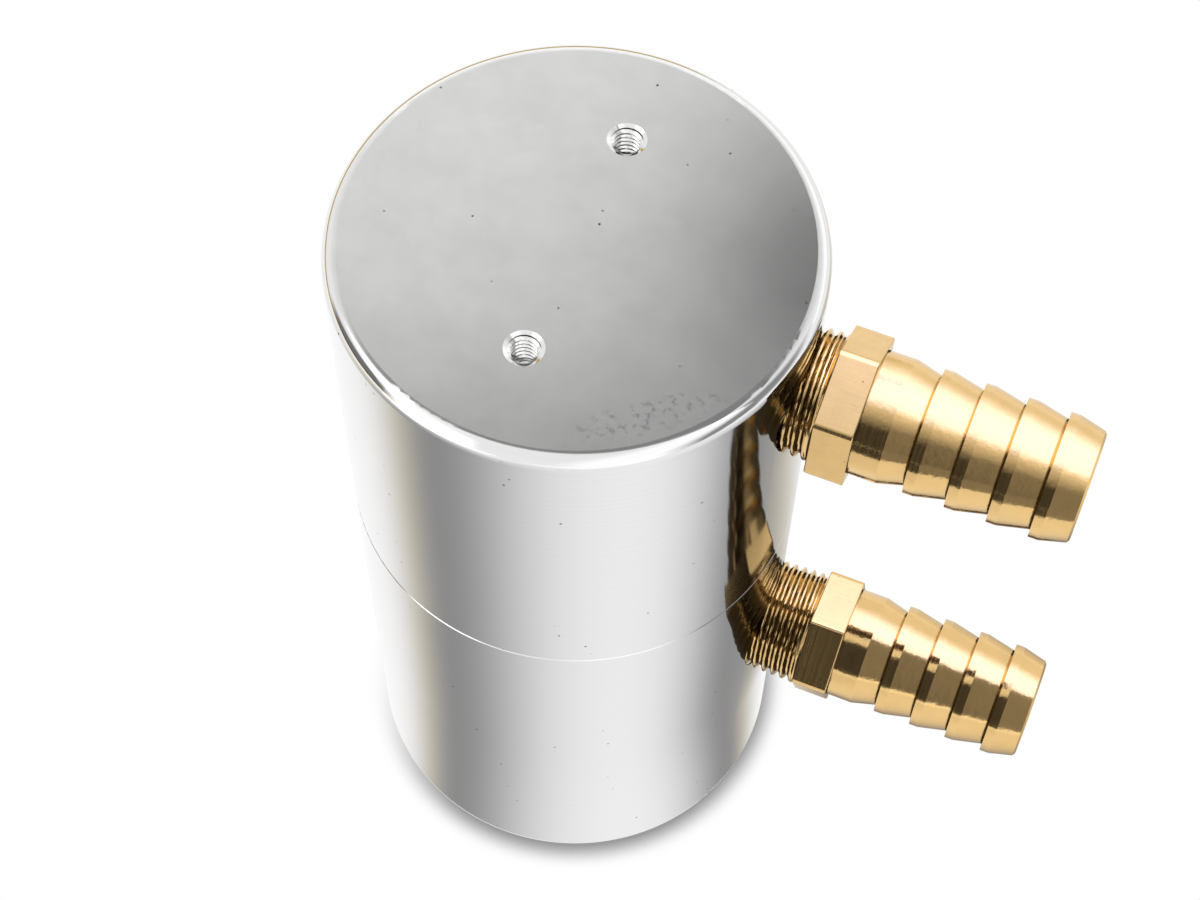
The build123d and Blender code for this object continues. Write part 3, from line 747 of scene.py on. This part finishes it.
def sideCards(s):
    wall = np.linspace(-s["wallReach"], s["wallReach"], s["wallSteps"])[:, None]
    away = np.append(np.linspace(s["start"], s["fade"][0], s["awaySteps"]), s["fade"][1])
    base = math.radians(s["towardsCamera"] - 90)
    a, b = np.radians(wall) + base, np.radians(2 * wall) + base
    points = np.stack([cadHigh.y * np.cos(a) + away * np.cos(b), cadHigh.y * np.sin(a) + away * np.sin(b),
                       s["height"] + 0 * away * a], -1)
    cover = warm = 0 * wall * away
    outerRight = np.interp(away, s["far"], s["rightSpread"])
    for middles, outer, inner in ((s["left"], *s["leftSpread"]), (s["right"], outerRight, s["rightInner"])):
        middle = np.interp(away, s["near"], middles)
        off = wall - middle
        isOuter = off * middle > 0
        band = np.exp(-(off / np.where(isOuter, outer, inner)) ** 2)
        cover = cover + s["cover"] * band * np.interp(away, s["fade"], (1, 0))
        warm = warm + isOuter * 27 / 4 * band ** 2 * (1 - band)  # is 1 where the band is two thirds
    card = gridPiece("sideCards", points, flip=True, attributes={"cover": cover, "tone": 1.0, "warm": warm})
    darkCard(card, s["colour"], s["through"])


sideCards(sideCardSet)

# level cards on the floor, with cover and tone at their grid lines; flip chooses how a cell is split.
# The paper ends in front of the can, and the table beyond is dark, paler away to the right; far behind
# on the left the floor is a warm tan, which the back of the rim mirrors as a line, and comes up softly
tableSets = {
    "darkTable": {"colour": "#FFFFFF", "height": 0.3 * mm, "flip": False,
                  "x": (-0.2, 0.09, 0.18, 2.0), "y": (-2.9, -0.29), "coverX": (1, 1, 1, 1), "coverY": (1, 1),
                  "tone": (0.055, 0.055, 0.26, 0.26)},
    "backTable": {"colour": "#C4A448", "height": 0.3 * mm, "flip": True,
                  "x": (-2.9, -0.25, -0.02), "y": (0.42, 0.9, 2.9), "coverX": (1, 1, 0), "coverY": (0, 1, 1),
                  "tone": (1, 1, 1)},
}


def tableCard(name, s):
    x, y = np.meshgrid(s["x"], s["y"], indexing="ij")
    points = np.stack([x, y, 0 * x + s["height"]], -1)
    amounts = {"cover": np.outer(s["coverX"], s["coverY"]), "tone": np.array(s["tone"])[:, None]}
    darkCard(gridPiece(name, points, flip=s["flip"], attributes=amounts), s["colour"])


for name, s in tableSets.items():
    tableCard(name, s)

# a dark card up behind the can, square to the way there from the right of its face, which mirrors it as
# a soft dark patch; its cover is densest at its middle and fades like a bell both ways
faceCardSet = {"from": (29 * mm, 0, 127 * mm), "azimuth": -13, "elevation": 55.5, "distance": 300 * mm,
               "reach": (-110 * mm, 32 * mm), "rise": (-100 * mm, 100 * mm), "middle": (12 * mm, -9 * mm),
               "spread": (42 * mm, 37 * mm), "cover": 0.97, "colour": "#000000", "columns": 72, "rows": 81}


def faceCard(s):
    a, e = math.radians(s["azimuth"]), math.radians(s["elevation"])
    towards = np.array((math.sin(a) * math.cos(e), math.cos(a) * math.cos(e), math.sin(e)))
    up = np.array((0, -math.sin(e), math.cos(e)))
    x = np.linspace(*s["reach"], s["columns"])[:, None]
    rise = np.linspace(*s["rise"], s["rows"])
    points = np.array(s["from"]) + s["distance"] * towards + x[..., None] * (1, 0, 0) + rise[:, None] * up
    off = (x - s["middle"][0]) / s["spread"][0], (rise - s["middle"][1]) / s["spread"][1]
    cover = s["cover"] * np.exp(-off[0] ** 2 - off[1] ** 2)
    darkCard(gridPiece("faceCard", points, attributes={"cover": cover, "tone": 1.0}), s["colour"])


faceCard(faceCardSet)

# lights on an arc along the barbs, by the angle from straight up towards the front in degrees: a flat
# peak that fades to both sides and ends at its cut, and even fills, each (level, from, to, softness at
# both ends), the first of which stops some degrees earlier beyond the barbs' tips; overhead gives back
# that share of what the sky's dark patch takes. In second reflections a share of the peak is left, on a
# low level that ends in front, and nothing far to the right. An arc has what plain says unless it has
# its own
glowSet = {
    "colour": "#AEB8FF", "angles": (-110, 125), "steps": 471, "columns": 31, "barbX": 60 * mm,
    "shiftX": (60 * mm, 190 * mm), "secondX": (60 * mm, 170 * mm), "secondEnd": 20,
    "plain": {"distance": 300 * mm, "reach": (-300 * mm, 450 * mm), "fades": None, "overhead": 1,
              "second": 0.4, "secondBase": 0.4, "secondFill": 0},
    "upperHoseBarb": {"peak": 2.35, "middle": -20, "spread": 42, "cut": 16, "cutSoft": 14, "shift": 5,
                      "fills": [(0.68, 0, 39, 2, 15)]},
    "lowerHoseBarb": {"peak": 2.25, "middle": -22, "spread": 28, "cut": 0, "cutSoft": 3, "shift": 29,
                      "fills": [(0.9, -1, 22, 1.5, 2.5), (0.95, 90, 98.6, 0.7, 0.7)]},
    "can": {"distance": 309 * mm, "reach": (-360 * mm, 700 * mm), "fades": (-260 * mm, 350 * mm),
            "peak": 0, "middle": 0, "spread": 1, "cut": 0, "cutSoft": 1, "shift": 0,
            "fills": [(0.9, 0, 111, 1.5, 1.5), (0.24, -76, -52, 3, 6)],
            "overhead": 0, "second": 0, "secondBase": 0, "secondFill": 0.8},
}


def glowArc(name, axisZ, pieces, state, s):
    own = {**s["plain"], **s[name]}
    angle = np.linspace(*s["angles"], s["steps"])
    a = np.radians(angle)
    x = np.linspace(*own["reach"], s["columns"])[:, None]
    away = own["distance"]
    points = np.stack([x + 0 * a, 0 * x - away * np.sin(a), axisZ + 0 * x + away * np.cos(a)], -1)
    peak = own["peak"] * np.exp(-((angle - own["middle"]) / own["spread"]) ** 4)
    peak = peak * np.clip((own["cut"] - angle) / own["cutSoft"] + 0.5, 0, 1)
    radius, core, dark = skySet["patches"][0][2:]
    edge = np.cos(np.radians((radius, core)))
    upward = away * np.cos(a) / np.hypot(away, x - s["barbX"])
    inPatch = np.clip((upward - edge[0]) / (edge[1] - edge[0]), 0, 1)
    taken = skySet["level"] * (1 - dark) * inPatch ** 2 * (3 - 2 * inPatch)
    front = skySet["angles"]["frontEdge"]
    behind = np.interp(angle, (-front, front), (1, 0))
    fill = own["overhead"] * taken * behind
    shift = np.interp(x, s["shiftX"], (0, own["shift"]))
    for level, start, end, softStart, softEnd in own["fills"]:
        rise = np.clip((angle - start) / softStart / 2 + 0.5, 0, 1)
        fill = fill + level * rise * np.clip((end - shift - angle) / softEnd / 2 + 0.5, 0, 1)
        shift = 0 * shift
    if own["fades"]:
        (left, right), (leftFade, rightFade) = own["reach"], own["fades"]
        fill = fill * np.interp(x, (left, leftFade, rightFade, right), (0, 1, 1, 0))
    low = own["secondBase"] * np.clip(1 - angle / s["secondEnd"], 0, 1)
    second = np.interp(x, s["secondX"], (1, 0)) * (own["second"] * peak + low) + own["secondFill"]
    card = gridPiece(name + "Glow", points, attributes={"peak": peak, "fill": fill, "second": second})
    glowCard(card, s["colour"], pieces, state)


barbHeights = {name: (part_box(node)[0].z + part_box(node)[1].z) / 2
               for name, node in (("upperHoseBarb", "upper_hose_barb"), ("lowerHoseBarb", "lower_hose_barb"))}
for name, barb in hoseBarbs.items():
    glowArc(name, barbHeights[name], [barb], "INCLUDE", glowSet)
glowArc("can", barbHeights["upperHoseBarb"], hoseBarbs.values(), "EXCLUDE", glowSet)
print("studio made")

# Camera, solved from the can's outline, seam and hexagons in the photo
cameraSet = {"place": (64.67 * mm, -159.52 * mm, 378.18 * mm), "azimuth": 20.94, "elevation": 60.44,
             "roll": 1.18, "lens": 73.57, "sensor": 36, "clipStart": 0.01}


def photoCamera(s):
    camera = bpy.data.objects.new("camera", bpy.data.cameras.new("camera"))
    bpy.context.scene.collection.objects.link(camera)
    camera.data.lens = s["lens"]
    camera.data.sensor_width = s["sensor"]
    camera.data.sensor_fit = "HORIZONTAL"
    camera.data.clip_start = s["clipStart"]
    turn = Matrix.Rotation(math.radians(s["azimuth"]), 4, "Z")
    tilt = Matrix.Rotation(math.radians(90 - s["elevation"]), 4, "X")
    roll = Matrix.Rotation(math.radians(s["roll"]), 4, "Z")
    camera.matrix_world = Matrix.Translation(Vector(s["place"])) @ turn @ tilt @ roll
    bpy.context.scene.camera = camera


photoCamera(cameraSet)
bpy.context.scene.view_settings.view_transform = "Standard"
print("camera set")
